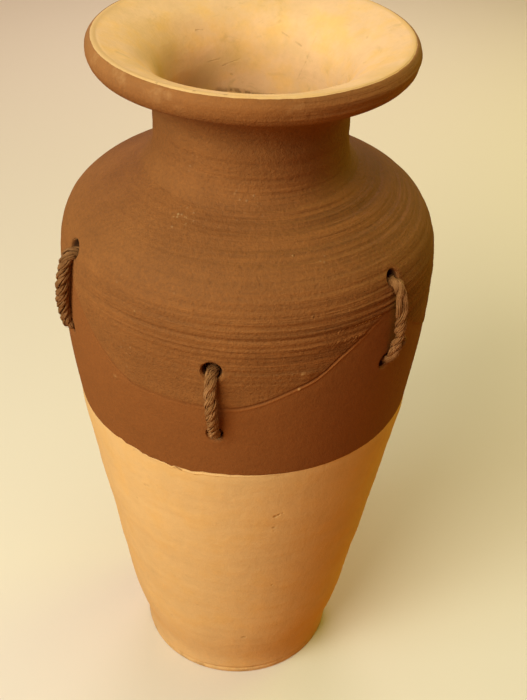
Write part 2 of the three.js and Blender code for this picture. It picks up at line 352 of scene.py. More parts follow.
class Surface:
    """What a place on the outside of the jar is like: its edges, its lines and its relief."""

    def __init__(self, scene):
        jar = scene.jar_shape
        self.jar, self.rope = jar, scene.rope_shape
        self.outside = outside_of(jar)
        lowest = min(hole.height for stitch in STITCHES for hole in stitch) * MM
        edge = lowest - jar.coat_hang
        self.edge_height = closed_line(
            (-90, -30, -22.5, -19, -16.3, -13, -8, 0, 30, 60, 90, 180),
            [edge + rise * MM for rise in (0.3, 0.5, 0.2, -0.4, -1.8, 0.0, 0.3, 0, -0.2, 0.2, 0.4, -0.3)],
            1.0, seed=11, wobble=0.1 * MM, fineness=140,
        )
        self.edge_lumps = closed_line((0,), (0,), 1.0, seed=13, wobble=0.95 * MM, fineness=150)
        self.edge_care = closed_line(
            (-90, -50, -28, -5, 4, 30, 70, 110, 150, 200, 250),
            (0.3, 0.5, 1.2, 1.1, 0.15, 0.1, 0.3, 0.8, 0.3, 0.8, 0.5),
            4.0,
        )
        self.top_drop = closed_line(
            (-150, -60, -25, 8, 20, 50, 70, 100, 130),
            [drop * MM for drop in (0.7, 0.2, 0.25, 0.2, 0.5, 0.3, 0.15, 0.15, 0.6)],
            2.0, seed=12, wobble=0.25 * MM, fineness=140,
        )
        self.comb_side = closed_line(
            (-90, -40, -15, 10, 35, 60, 100, 160, 220), (0.5, 0.5, 0.85, 1.2, 2.3, 1.9, 1.1, 0.9, 0.9), 6.0
        )
        self.swag_height = swag_line()
        self.swag_force = closed_line(
            (-80, -60, -40, -20, -8, -3, 6, 12, 18, 28, 34, 39, 44, 52, 75, 110, 150, 172, 205, 240, 270),
            (0.1, 0.15, 0.3, 0.2, 0.3, 0.6, 0.9, 0.7, 1, 1, 0.75, 0.35, 0.1, 0.08, 0.1, 0.7, 0.9, 0.2, 0.4, 0.8, 0.4),
            2.0,
        )

    def edge(self, azimuth):
        """Length along the outline at which the slip starts."""
        return self.outside.at_height(self.edge_height(azimuth) + self.edge_care(azimuth) * self.edge_lumps(azimuth))

    def top_edge(self, azimuth):
        """Length along the outline at which the slip ends on the lip."""
        return self.outside.ends["rim"] - np.maximum(self.top_drop(azimuth), 0.1 * MM)

    def swag(self, azimuth):
        """Length along the outline of the combed line."""
        return self.outside.at_height(self.swag_height(azimuth))

    def near_hole(self, azimuth, along, hole):
        """Distance across and up from a hole's centre, over the surface."""
        at = self.outside.at_height(hole.height * MM)
        return turned_from(azimuth, hole.azimuth) * self.outside.place(at)[0], along - at

    def rings(self, azimuth, along):
        """The rings left by throwing and combing, as far as they are broad enough to be shaped."""
        broad = 0.07 * waves(azimuth, along, 1, 9 * MM, 9, 21) * (0.25 + 0.75 * self.comb_side(azimuth))
        middle = 0.085 * waves(azimuth, along, 2, 4.6 * MM, 12, 22)
        fine = 0.08 * waves(azimuth, along, 3, 2.9 * MM, 14, 24)
        return (broad + (middle + fine) * self.comb_force(azimuth, along)) * MM

    def comb_force(self, azimuth, along):
        """How hard the comb was pressed, most in the band round the belly and at the foot of the neck."""
        height = self.outside.place(along)[..., 1]
        side = self.comb_side(azimuth)
        force = side * (0.42 + 0.28 * waves(azimuth, along, 3, 120 * MM, 5, 25))
        force += 1.05 * side * bell(height - 325 * MM, 20 * MM)
        force += 0.75 * bell(turned_from(azimuth, 16), 0.5) * bell(height - 379 * MM, 6 * MM)
        return np.clip(force, 0.12, 3.0)

    def long_stroke(self, azimuth, along):
        """Distance up from the long stroke at the right of the shoulder, and how strong it is here."""
        return along - self.outside.at_height(353 * MM), bell(turned_from(azimuth, 56), math.radians(26))

    def slip_relief(self, azimuth, along):
        """How far the slip stands out from the even outline."""
        past_swag = along - self.swag(azimuth)
        combed = smooth(0.2 * MM, 2 * MM, past_swag)
        relief = 0.22 * MM * waves(azimuth, along, 5, 90 * MM, 8, 23)
        relief += combed * self.rings(azimuth, along)
        relief -= 0.18 * MM * (1 - combed) * smooth(-9 * MM, -2 * MM, past_swag)
        force = self.swag_force(azimuth)
        relief -= force * 0.5 * MM * bell(past_swag - 0.4 * MM, 0.75 * MM)
        relief += force * 0.38 * MM * bell(past_swag + 1.2 * MM, 0.75 * MM)
        stroke, reach = self.long_stroke(azimuth, along)
        relief += reach * MM * (0.28 * bell(stroke, 0.6 * MM) - 0.15 * bell(stroke - 1.3 * MM, 0.7 * MM))
        for degrees, height, width, rise in SWELLINGS:
            across, up = self.near_hole(azimuth, along, Hole(degrees, height))
            relief += rise * MM * bell(np.hypot(across, up), width * MM)
        return relief + self.burrs(azimuth, along)

    def burrs(self, azimuth, along):
        """Clay pushed up round each hole by the stick that pierced it, more on one side."""
        rise = 0.0
        for stitch in STITCHES:
            for hole in stitch:
                across, up = self.near_hole(azimuth, along, hole)
                apart = np.hypot(across, up)
                lean = 0.7 + 0.3 * across / np.maximum(apart, 1 * MM)
                rise = rise + 0.5 * MM * lean * bell(apart - 7.3 * MM, 1.5 * MM)
        return rise

    def bare_relief(self, azimuth, along):
        """The brushed and smoothed lower body."""
        relief = 0.20 * MM * waves(azimuth, along, 6, 70 * MM, 8, 31)
        relief += 0.03 * MM * waves(azimuth, along, 4, 9 * MM, 8, 32)
        relief += 0.05 * MM * waves(azimuth, along, 40, 16 * MM, 12, 33)
        groove = 0.3 + 0.7 * bell(turned_from(azimuth, 0), math.radians(22))
        height = self.outside.place(along)[..., 1]
        relief -= 0.5 * MM * groove * bell(height - 4.4 * MM, 0.9 * MM)
        relief += 0.14 * MM * groove * bell(height - 2.3 * MM, 0.9 * MM)
        return relief


# Sleeves: rows of points along an outline, turned round the axis

class Stretch(NamedTuple):
    """So many rows between two lengths along the outline, each length a number or one for each azimuth."""

    rows: int
    start: object
    end: object
    offset: Callable


def level(offset):
    """The same distance out from the outline all over a stretch."""
    return lambda azimuth, along: np.full_like(azimuth, offset)


def laid(outline, stretches, azimuth, row):
    """Where the points of a turned mesh go, from the azimuth and the row that each has."""
    along = np.zeros_like(azimuth)
    offset = np.zeros_like(azimuth)
    first = 0
    for rows, start, end, away in stretches:
        here = (row >= first) & (row < first + rows)
        share = (row[here] - first) / rows
        starts = np.broadcast_to(start, azimuth.shape)[here]
        ends = np.broadcast_to(end, azimuth.shape)[here]
        along[here] = starts + (ends - starts) * share
        offset[here] = away(azimuth[here], along[here])
        first += rows
    radius, height = outline.place(along, offset).T
    return np.column_stack([radius * np.sin(azimuth), -radius * np.cos(azimuth), height])


def points_of(mesh):
    points = np.empty(len(mesh.vertices) * 3, dtype=np.float32)
    mesh.vertices.foreach_get("co", points)
    return points.reshape(-1, 3).astype(float)


def put_points(mesh, points):
    mesh.vertices.foreach_set("co", np.asarray(points, np.float32).ravel())
    mesh.update()


def azimuths_of(points):
    return np.arctan2(points[:, 0], -points[:, 1])


def add_piece(name, mesh):
    """A new object of the jar, which stays on the origin, with its place in its mesh."""
    piece = bpy.data.objects.new(name, mesh)
    bpy.context.scene.collection.objects.link(piece)
    return piece


def mesh_from(name, working):
    """A mesh made of a bmesh, which is freed."""
    mesh = bpy.data.meshes.new(name)
    working.to_mesh(mesh)
    working.free()
    return mesh


def turned_vessel(name, columns, rows):
    """A closed ball whose rows run from its lower pole to its upper one, and each point's azimuth and row."""
    working = bmesh.new()
    bmesh.ops.create_uvsphere(working, u_segments=columns, v_segments=rows, radius=1)
    mesh = mesh_from(name, working)
    points = points_of(mesh)
    row = np.rint(rows * np.arccos(np.clip(-points[:, 2], -1, 1)) / math.pi)
    return mesh, azimuths_of(points), row


def turned_ring(name, columns, rows):
    """A closed ring whose rows run up its outside and down its inside, and each point's azimuth and row."""
    working = bmesh.new()
    upright = Matrix.Translation((2, 0, 0)) @ Matrix.Rotation(math.pi / 2, 4, "X")
    bmesh.ops.create_circle(working, segments=rows, radius=1, matrix=upright)
    bmesh.ops.spin(
        working, geom=working.verts[:] + working.edges[:], axis=(0, 0, 1), cent=(0, 0, 0),
        angle=TURN, steps=columns, use_merge=True,
    )
    bmesh.ops.recalc_face_normals(working, faces=working.faces)
    mesh = mesh_from(name, working)
    points = points_of(mesh)
    round_section = np.arctan2(points[:, 2], np.hypot(points[:, 0], points[:, 1]) - 2)
    # The circle's first point lies at its top, so the rows are counted from there.
    row = np.rint(rows * (round_section - math.pi / 2) / TURN) % rows
    return mesh, azimuths_of(points), row


# Holes

def hole_frame(surface, hole):
    """The place of a hole, with X across, Y up the wall and Z out of the clay."""
    outside = surface.outside
    at = outside.at_height(hole.height * MM)
    radius, height = outside.place(at)
    out_radius, out_height = outside.place(at, 1.0) - outside.place(at)
    turn = math.radians(hole.azimuth)
    centre = Vector((radius * math.sin(turn), -radius * math.cos(turn), height))
    out = Vector((out_radius * math.sin(turn), -out_radius * math.cos(turn), out_height)).normalized()
    across = Vector((math.cos(turn), math.sin(turn), 0))
    place = Matrix((across, out.cross(across), out)).transposed().to_4x4()
    place.translation = centre
    return place


def hole_cutter(surface, finish):
    """One body with a plug for each hole, flared where it comes out of the clay."""
    rope = surface.rope
    radius = rope.diameter / 2 + rope.hole_clearance
    flare = rope.hole_flare
    depth = surface.jar.wall + 7 * MM
    rounded = curve_through(
        (radius, -2.2 * flare),
        (radius, -0.3 * flare),
        (radius + 0.5 * flare, 0.12 * flare),
        (radius + 2.4 * flare, 0.5 * flare),
        count=9,
    )
    profile = [(0, -depth), (radius * 0.96, -depth), *rounded, (radius + 2.4 * flare, 3 * flare), (0, 3 * flare)]
    working = bmesh.new()
    random = np.random.default_rng(41)
    for stitch in STITCHES:
        for hole in stitch:
            staff = [working.verts.new((x, 0, z)) for x, z in profile]
            edges = [working.edges.new(pair) for pair in zip(staff, staff[1:])]
            bmesh.ops.spin(
                working, geom=staff + edges, axis=(0, 0, 1), cent=(0, 0, 0), angle=TURN, steps=40, use_merge=True
            )
            plug = [vert for vert in working.verts if not vert.tag]
            uneven = hole.size * Vector((1 + random.uniform(-0.04, 0.05), 1 + random.uniform(-0.02, 0.06)))
            place = hole_frame(surface, hole) @ Matrix.Diagonal((*uneven, 1, 1))
            bmesh.ops.transform(working, matrix=place, verts=plug)
            for vert in plug:
                vert.tag = True
    bmesh.ops.remove_doubles(working, verts=working.verts, dist=1e-6)
    bmesh.ops.recalc_face_normals(working, faces=working.faces)
    cutter = add_piece("hole_cutter", mesh_from("hole_cutter", working))
    cutter.data.materials.append(finish)
    return cutter


def pierce(piece, cutter):
    """Cuts the holes through a piece. Their walls keep the cutter's finish."""
    holes = piece.modifiers.new("Holes", "BOOLEAN")
    holes.operation = "DIFFERENCE"
    holes.solver = "EXACT"
    holes.material_mode = "TRANSFER"
    holes.object = cutter
    evaluated = piece.evaluated_get(bpy.context.evaluated_depsgraph_get())
    pierced = bpy.data.meshes.new_from_object(evaluated)
    piece.modifiers.clear()
    whole, piece.data = piece.data, pierced
    bpy.data.meshes.remove(whole)


def discard(piece):
    """Takes away a piece that was only a tool."""
    mesh = piece.data
    bpy.data.objects.remove(piece)
    bpy.data.meshes.remove(mesh)


def keep_value(mesh, name, values):
    """Stores a number for each point, for the finish to read."""
    layer = mesh.attributes.new(name, "FLOAT", "POINT")
    layer.data.foreach_set("value", np.asarray(values, np.float32))


def finish_mesh(mesh, sharp_degrees=38):
    """Smooth shading, with sharp edges only where the surface turns by more than this."""
    mesh.shade_smooth()
    mesh.set_sharp_from_angle(angle=math.radians(sharp_degrees))


# Rope

# A strand's radius and its place off the middle as shares of the rope's radius, and a yarn's of its strand's
STRAND_SHARE = 0.55
STRAND_OFFSET = 0.45
YARN_SHARE = 0.29
# Radius of the rope where it is pulled tight in its knot
KNOT_ROPE = 2.55 * MM
# Stray fibres on each stitch
FIBRES = 150


class Path:
    """A route in space with even steps, and at each point the direction ahead, across and out from the wall."""

    def __init__(self, points, step):
        points = np.asarray(points, float)
        gaps = np.linalg.norm(np.diff(points, axis=0), axis=1)
        points = points[np.concatenate([[True], gaps > 1e-7])]
        reached = np.concatenate([[0], np.cumsum(np.linalg.norm(np.diff(points, axis=0), axis=1))])
        count = max(int(round(reached[-1] / step)), 4)
        self.along = np.linspace(0, reached[-1], count + 1)
        self.points = np.column_stack([np.interp(self.along, reached, column) for column in points.T])
        ahead = np.gradient(self.points, self.along, axis=0)
        self.ahead = ahead / np.linalg.norm(ahead, axis=1)[:, None]
        self.fullness = np.ones(len(self.along))

    def with_sideways(self, sideways):
        """Sets what is across the route and what is out from it, from a rough direction across."""
        across = sideways - np.sum(sideways * self.ahead, axis=1)[:, None] * self.ahead
        self.across = across / np.linalg.norm(across, axis=1)[:, None]
        self.out = np.cross(self.ahead, self.across)
        return self

    def through(self, points):
        """A route through other points, step for step with this one."""
        other = copy.copy(self)
        other.points = points
        ahead = np.gradient(points, axis=0)
        other.ahead = ahead / np.linalg.norm(ahead, axis=1)[:, None]
        return other

    def beside(self, across, out):
        """Points so far across and out from the route."""
        return self.points + across[:, None] * self.across + out[:, None] * self.out


def round_the_axis(flat, azimuth):
    """Places in space of points given by radius and height, at azimuths in radians."""
    flat = np.asarray(flat)
    return np.column_stack([flat[:, 0] * np.sin(azimuth), -flat[:, 0] * np.cos(azimuth), flat[:, 1]])


def stitch_end(surface, at, turn, azimuth):
    """One end of a stitch, from its tail inside to where it lies along the wall. The turn is 1 for up the wall."""
    outside, rope = surface.outside, surface.rope
    radius = rope.diameter / 2 * rope.pinch
    stand = radius + rope.standoff
    bend = radius + rope.edge_bend
    out = outside.place(at, 1.0) - outside.place(at)
    end_out = outside.place(at + turn * bend, 1.0) - outside.place(at + turn * bend)
    onward = turn * np.array([-end_out[1], end_out[0]])
    start = outside.place(at, stand - bend)
    end = outside.place(at + turn * bend, stand)
    tail = surface.jar.wall + 0.3 * MM + rope.knot_depth + rope.knot_tail
    straight = [outside.place(at, -depth) for depth in np.linspace(tail, bend - stand, 30)]
    curved = curve_through(start, start + 0.55 * bend * out, end - 0.55 * bend * onward, end, count=16)
    return round_the_axis(np.vstack([straight, curved]), math.radians(azimuth))


def stitch_path(surface, stitch, lie):
    """The route of a stitch, from its upper tail to its lower one."""
    outside, rope = surface.outside, surface.rope
    top, bottom = stitch
    radius = rope.diameter / 2
    slack = rope.pinch * radius + rope.seat
    bend = radius * rope.pinch + rope.edge_bend
    upper = outside.at_height(top.height * MM) - ((radius + rope.hole_clearance) * top.size - slack + top.pull * MM)
    lower = outside.at_height(bottom.height * MM) + 0.35 * ((radius + rope.hole_clearance) * bottom.size - slack)
    share = np.linspace(0, 1, 40)[1:-1]
    risen = smooth(0, 0.3, share) * smooth(1, 0.7, share)
    stand = radius * (rope.pinch + (1 - rope.pinch) * risen) + rope.standoff
    stand += lie.bow * (1 - np.cos(TURN * share)) / 2
    run = outside.place(np.linspace(upper - bend, lower + bend, 40)[1:-1], stand)
    end = bottom.azimuth + lie.aside
    azimuth = np.radians(top.azimuth + (end - top.azimuth) * smooth(0, 1, share**lie.lag))
    path = Path(
        np.vstack([
            stitch_end(surface, upper, -1, top.azimuth),
            round_the_axis(run, azimuth),
            stitch_end(surface, lower, 1, end)[::-1],
        ]),
        0.8 * MM,
    )
    at = azimuths_of(path.points)
    whole, pinched = path.along[-1], surface.jar.wall + rope.knot_depth + rope.knot_tail + 4 * MM
    free = smooth(pinched, pinched + 12 * MM, path.along)
    free *= smooth(whole - pinched, whole - pinched - 12 * MM, path.along)
    path.fullness = rope.pinch + (1 - rope.pinch) * free
    return path.with_sideways(np.column_stack([np.cos(at), np.sin(at), np.zeros_like(at)]))


class Slack(NamedTuple):
    """A place where a rope has come unlaid: its middle and half length along the rope, and how far it spreads."""

    middle: float
    reach: float
    twist: float
    spread: float


class Loop(NamedTuple):
    """A strand that stands out to the right: which one, its middle and half length along the rope, and how far."""

    strand: int
    middle: float
    reach: float
    out: float


class Lie(NamedTuple):
    """How a stitch lies: how late it moves across, how far its middle stands off the wall, how many degrees it ends
    beside its lower hole, how thick and how dark it is as shares, where it has come unlaid, and its loop."""

    lag: float
    bow: float
    aside: float
    thick: float
    rope_shade: float
    slacks: tuple
    loop: Loop | None = None


# The fifth number of each lie is painted shade, most on the first stitch, which stands in shade at the left.
LIES = (
    Lie(1.0, 0.3 * MM, 0, 1.18, 0.8, (Slack(52 * MM, 6 * MM, 0.6, 0.05),)),
    Lie(1.0, 1.4 * MM, 0, 1.05, 0.1, (Slack(41 * MM, 5 * MM, 0.45, 0.05),)),
    Lie(
        2.6, 0.3 * MM, 1.0, 0.92, 0.2,
        (Slack(44 * MM, 9 * MM, 0.05, 0.55), Slack(77 * MM, 5 * MM, 0.5, 0.15)),
        Loop(2, 70 * MM, 3.6 * MM, 6.8 * MM),
    ),
    Lie(1.0, 1.2 * MM, 0, 1.0, 0.4, (Slack(44 * MM, 6 * MM, 0.5, 0.15),)),
    Lie(1.2, 1.4 * MM, 0, 1.05, 0.1, (Slack(70 * MM, 8 * MM, 0.4, 0.15),)),
    Lie(1.0, 0.8 * MM, 0, 1.0, 0.3, (Slack(36 * MM, 6 * MM, 0.6, 0.10),)),
)


def drift(random, count, waves_along):
    """A smooth random walk about zero, so many waves along a rope."""
    share = np.linspace(0, TURN, count)
    total = np.zeros(count)
    for turns in range(1, waves_along + 1):
        total += random.normal() / math.sqrt(turns) * np.sin(turns * share + random.uniform(0, TURN))
    return total / 2


def laid_rope(path, rope, random, radius, slacks=(), loop=None):
    """The yarns of a three-strand rope along a path: a list of points and thicknesses for each."""
    strand_radius = radius * STRAND_SHARE
    strand_offset = radius * STRAND_OFFSET
    yarn_radius = strand_radius * YARN_SHARE
    count = len(path.along)
    turning = np.full(count, 1.0)
    spread = np.ones(count)
    for slack in slacks:
        loose = bell(path.along - slack.middle, slack.reach)
        turning *= 1 - (1 - slack.twist) * loose
        spread *= 1 + slack.spread * loose
    step = path.along[1] - path.along[0]
    twist = -TURN * np.cumsum(turning) * step / (rope.lay * min(radius / (rope.diameter / 2), 1))
    twist += 0.25 * drift(random, count, 6)
    yarns = []
    for strand in range(3):
        turn = twist + TURN * strand / 3
        reach = strand_offset * (1 + 0.05 * drift(random, count, 9))
        across = reach * spread * np.sin(turn)
        out = reach * np.cos(turn) * path.fullness
        if loop and strand == loop.strand:
            bulge = bell(path.along - loop.middle, loop.reach)
            across = across * (1 - bulge) + loop.out * bulge
            out = out + 1.0 * MM * bulge
        core = path.through(path.beside(across, out))
        core.with_sideways(np.cross(core.ahead, core.points - path.points))
        for yarn in range(rope.yarns):
            roll = -0.9 * twist + TURN * yarn / rope.yarns + 0.3 * drift(random, count, 8)
            gap = (strand_radius - yarn_radius) * (1 + 0.10 * drift(random, count, 14))
            points = core.beside(gap * np.sin(roll), gap * np.cos(roll))
            thick = yarn_radius * (1 + 0.14 * drift(random, count, 20))
            yarns.append((points, thick))
    return yarns


def stray_fibres(path, rope, random, count):
    """Single fibres that stand off the rope, mostly along it."""
    fibres = []
    for _ in range(count):
        start = random.integers(len(path.along) // 6, len(path.along) * 5 // 6)
        turn = random.uniform(-1.9, 1.9)
        side = math.sin(turn) * path.across[start] + math.cos(turn) * path.out[start]
        run = random.uniform(1.5, 4.5) * MM * random.choice((-1, 1))
        lift = random.uniform(0.05, 0.6) * MM
        sway = random.uniform(-1.2, 1.2) * MM
        around = np.cross(path.ahead[start], side)
        share = np.linspace(0, 1, 6)[:, None]
        root = path.points[start] + side * rope.diameter / 2 * 0.9
        points = root + path.ahead[start] * run * share + side * lift * share**1.4 + around * sway * share**2
        fibres.append((points, np.linspace(0.10, 0.05, 6) * MM))
    return fibres


def knot_path(surface, hole, turn):
    """A stopper knot's turns round the rope's end, inside the wall."""
    rope = surface.rope
    frame_here = np.array(hole_frame(surface, hole))
    room = 2.8 * MM
    radius = rope.knot_radius - 2.6 * MM
    share = np.linspace(0, 1, 90)
    angle = TURN * 2.1 * share * turn
    depth = -(surface.jar.wall + 0.3 * MM + room + (rope.knot_depth - 2 * room) * share)
    pull = 1 - 0.55 * smooth(0.88, 1, share) - 0.5 * smooth(0.12, 0, share)
    local = np.column_stack([radius * pull * np.cos(angle), radius * pull * np.sin(angle), depth, np.ones(90)])
    path = Path((local @ frame_here.T)[:, :3], 1.2 * MM)
    return path.with_sideways(np.broadcast_to(frame_here[:3, 2], path.points.shape))


def tubes(name, lines, sides_level):
    """One closed mesh of round tubes, each given as points and thicknesses along it."""
    curve = bpy.data.curves.new(name, "CURVE")
    curve.dimensions = "3D"
    curve.bevel_depth = 1
    curve.bevel_resolution = sides_level
    curve.use_fill_caps = True
    for points, thick in lines:
        spline = curve.splines.new("POLY")
        spline.points.add(len(points) - 1)
        spline.points.foreach_set("co", np.column_stack([points, np.ones(len(points))]).ravel())
        spline.points.foreach_set("radius", np.asarray(thick, float).ravel())
    drawn = add_piece(name, curve)
    mesh = bpy.data.meshes.new_from_object(drawn.evaluated_get(bpy.context.evaluated_depsgraph_get()))
    bpy.data.objects.remove(drawn)
    bpy.data.curves.remove(curve)
    return mesh


def joined(name, meshes):
    """One mesh of several, which are taken away."""
    working = bmesh.new()
    for mesh in meshes:
        working.from_mesh(mesh)
        bpy.data.meshes.remove(mesh)
    return mesh_from(name, working)


# Shader maths

class Socket:
    """A node's output that can stand in sums."""

    def __init__(self, shader, output):
        self.shader, self.output = shader, output

    def _maths(self, operation, *values):
        return self.shader.node("Math", {"operation": operation}, dict(enumerate(values)))

    def __add__(self, other):
        return self._maths("ADD", self, other)

    def __sub__(self, other):
        return self._maths("SUBTRACT", self, other)

    def __rsub__(self, other):
        return self._maths("SUBTRACT", other, self)

    def __mul__(self, other):
        return self._maths("MULTIPLY", self, other)

    __radd__ = __add__
    __rmul__ = __mul__

    def clamped(self):
        """Kept between 0 and 1."""
        return self._maths("MINIMUM", self._maths("MAXIMUM", self, 0.0), 1.0)

    def between(self, low, high):
        """0 below low, 1 above high, and a smooth step from one to the other."""
        ends = {"Value": self, "From Min": low, "From Max": high}
        return self.shader.node("MapRange", {"interpolation_type": "SMOOTHSTEP"}, ends)


class Shader:
    """A material whose nodes are made as they are asked for."""

    def __init__(self, name):
        self.material = bpy.data.materials.new(name)
        self.material.use_nodes = True
        self.tree = self.material.node_tree
        self.surface = self.tree.nodes["Principled BSDF"]
        self.coords = self.node("TexCoord", output="Object")

    def node(self, kind, settings=None, sockets=None, output=0):
        """A new node: its type, its settings, and the values or links of its sockets. Gives one of its outputs."""
        node = self.tree.nodes.new("ShaderNode" + kind)
        for name, value in (settings or {}).items():
            setattr(node, name, value)
        for name, value in (sockets or {}).items():
            self._fill(node.inputs[name], value)
        return Socket(self, node.outputs[output])

    def _fill(self, socket, value):
        if isinstance(value, Socket):
            self.tree.links.new(value.output, socket)
        elif socket.type == "RGBA" and len(value) == 3:
            socket.default_value = (*value, 1)
        else:
            socket.default_value = value

    def value(self, name):
        """A number that the mesh keeps for each point."""
        return self.node("Attribute", {"attribute_name": name}, output="Fac")

    def stretched(self, x, y, z):
        """The place on the jar, scaled by its own number along each axis."""
        return self.node("Mapping", sockets={"Vector": self.coords, "Scale": (x, y, z)})

    def noise(self, scale, detail=3.0, rough=0.55, at=None, distortion=0.0):
        fill = {"Scale": scale, "Detail": detail, "Roughness": rough, "Distortion": distortion}
        return self.node("TexNoise", {"normalize": True}, {"Vector": at or self.coords, **fill})

    def mix(self, share, low, high):
        """A colour between two, as far as the share says."""
        fill = {0: share, 6: low, 7: high}
        return self.node("Mix", {"data_type": "RGBA", "clamp_factor": True}, fill, output=2)

    def tinted(self, base, factor):
        """A colour made lighter or darker by a number that varies."""
        grey = self.node("CombineColor", sockets={"Red": factor, "Green": factor, "Blue": factor})
        fill = {0: 1.0, 6: base, 7: grey}
        return self.node("Mix", {"data_type": "RGBA", "blend_type": "MULTIPLY"}, fill, output=2)

    def near(self, centre, radius):
        """1 at a place on the jar, falling to 0 at the radius."""
        fill = {0: self.coords, 1: centre}
        apart = self.node("VectorMath", {"operation": "DISTANCE"}, fill, output="Value")
        return 1 - apart.between(0.0, radius)

    def stroke(self, start, end, width):
        """1 on the straight line between two places, falling to 0 at the width."""
        along = Vector(end) - Vector(start)
        from_start = self.node("VectorMath", {"operation": "SUBTRACT"}, {0: self.coords, 1: tuple(start)})
        unit = tuple(along / along.length_squared)
        share = self.node("VectorMath", {"operation": "DOT_PRODUCT"}, {0: from_start, 1: unit}, output="Value")
        on_line = self.node("VectorMath", {"operation": "SCALE"}, {0: tuple(along), "Scale": share.clamped()})
        apart = self.node("VectorMath", {"operation": "DISTANCE"}, {0: from_start, 1: on_line}, output="Value")
        return 1 - apart.between(0.0, width)

    def finish(self, base, roughness, relief, depth, specular):
        """Links the finish to the surface. Relief is a height in units of the depth, which is in metres."""
        bump = self.node("Bump", sockets={"Height": relief, "Distance": depth, "Strength": 1.0}, output="Normal")
        for name, value in {"Base Color": base, "Roughness": roughness, "Normal": bump}.items():
            self._fill(self.surface.inputs[name], value)
        self.surface.inputs["Specular IOR Level"].default_value = specular
        return self.material


def on_jar(outside, degrees, height, inward=0.0):
    """A place in space on the outside of the jar, from degrees and millimetres."""
    flat = outside.place(outside.at_height(height * MM), -inward)
    return tuple(round_the_axis([flat], math.radians(degrees))[0])


# Finishes

# Colours of the marks on the slip, and of the shade and highlights painted on it
DUST = (0.62, 0.40, 0.20)
SCRAPED = (0.62, 0.40, 0.17)
LUMP_HIGHLIGHT = (0.60, 0.33, 0.12)
HOLE_SHADE = (0.06, 0.025, 0.008)
LIP_SIDE_HIGHLIGHT = (0.50, 0.31, 0.14)

# Colours of the marks on the clay, and of the shade and highlights painted on it
INSIDE = (0.80, 0.50, 0.285)
PIT = (0.30, 0.15, 0.05)
RIDGE_HIGHLIGHT = (0.90, 0.62, 0.34)
GRIME = (0.25, 0.11, 0.03)
OLIVE_STAIN_AND_SHADE = (0.46, 0.29, 0.068)
SMUDGE = (0.40, 0.25, 0.08)
RIM_TOP_SHADE = (0.50, 0.30, 0.13)
DIRT = (0.24, 0.125, 0.035)

# Where pale dust lies on the slip: degrees, height and reach in millimetres
DUSTY = ((-27.3, 370.8, 16), (0.6, 378.1, 18), (26.3, 361.3, 9), (-20, 352, 10), (120, 366, 16))

# Where the turning tool chattered over the slip: degrees, height and reach in millimetres
CHATTER = ((-32, 371.5, 4.0), (-28.5, 371, 4.0), (-25.5, 370.5, 3.5), (-13.5, 371, 2.0), (4, 379, 3.0))

# Crumbs of clay dragged along by the comb, painted lighter as a highlight on their tops: degrees, height and radius
# in millimetres, and how pale
LIT_LUMPS = (
    (16.5, 302.8, 2.1, 0.6), (15.9, 292.2, 1.5, 0.75), (18.7, 337.7, 1.1, 0.3), (15.8, 362.8, 1.1, 0.35),
    (13.6, 303.5, 1.2, 0.25), (-32, 331, 1.2, 0.3), (-41, 279, 2.2, 0.2), (132, 300, 2.0, 0.5), (228, 310, 1.8, 0.5),
)


